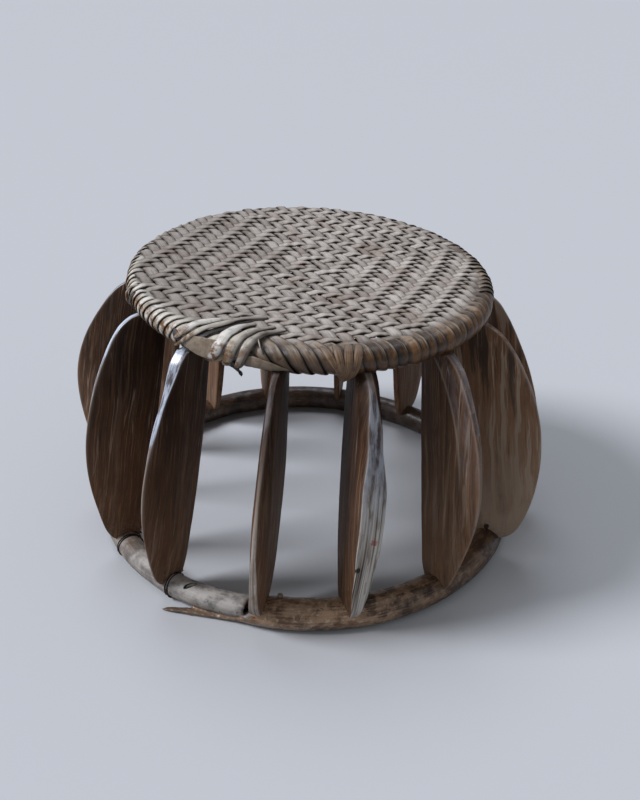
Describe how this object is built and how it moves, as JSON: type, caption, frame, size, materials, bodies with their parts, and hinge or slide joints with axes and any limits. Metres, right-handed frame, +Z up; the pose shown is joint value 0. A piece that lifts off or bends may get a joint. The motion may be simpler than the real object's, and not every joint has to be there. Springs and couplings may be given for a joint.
{
  "type": "low round stool",
  "caption": "Low round stool: a woven cane seat over a hoop, carried by a ring of hewn wooden blades standing on a floor hoop bent from a pole.",
  "frame": {"origin": "on the floor under the middle of the stool's outline", "axes": "+Z up; the front, where the floor hoop's ends lap, looks along -Y; +X to the right seen from the front"},
  "size_m": [0.5218, 0.5086, 0.2992],
  "materials": {
    "blade_wood": "hand-hewn dark brown wood, worn to a soft sheen, paler on the outer edges",
    "pole_wood": "bent pole with its skin on, brown with tan streaks, pale grey-cream at the thin end",
    "hoop_cane": "dry cane bundle",
    "weave_cane": "flat split cane, grey-beige and weathered, cream and orange-brown at the rim",
    "tab_cane": "orange-brown split cane",
    "plug_wood": "pale dry wood",
    "iron": "dark iron wire and nail, dull"
  },
  "bodies": {
    "root": {"base_hoop": "pole_wood", "blade_01": "blade_wood", "blade_02": "blade_wood", "blade_03": "blade_wood", "blade_04": "blade_wood", "blade_05": "blade_wood", "blade_06": "blade_wood", "blade_07": "blade_wood", "blade_08": "blade_wood", "blade_09": "blade_wood", "blade_10": "blade_wood", "blade_11": "blade_wood", "blade_12": "blade_wood", "blade_13": "blade_wood", "blade_14": "blade_wood", "seat_hoop": "hoop_cane", "woven_seat": "weave_cane", "rim_tab": "tab_cane", "foot_lashing_1": "iron", "foot_lashing_2": "iron", "toe_nail": "iron", "pole_plug": "plug_wood"}
  },
  "joints": []
}
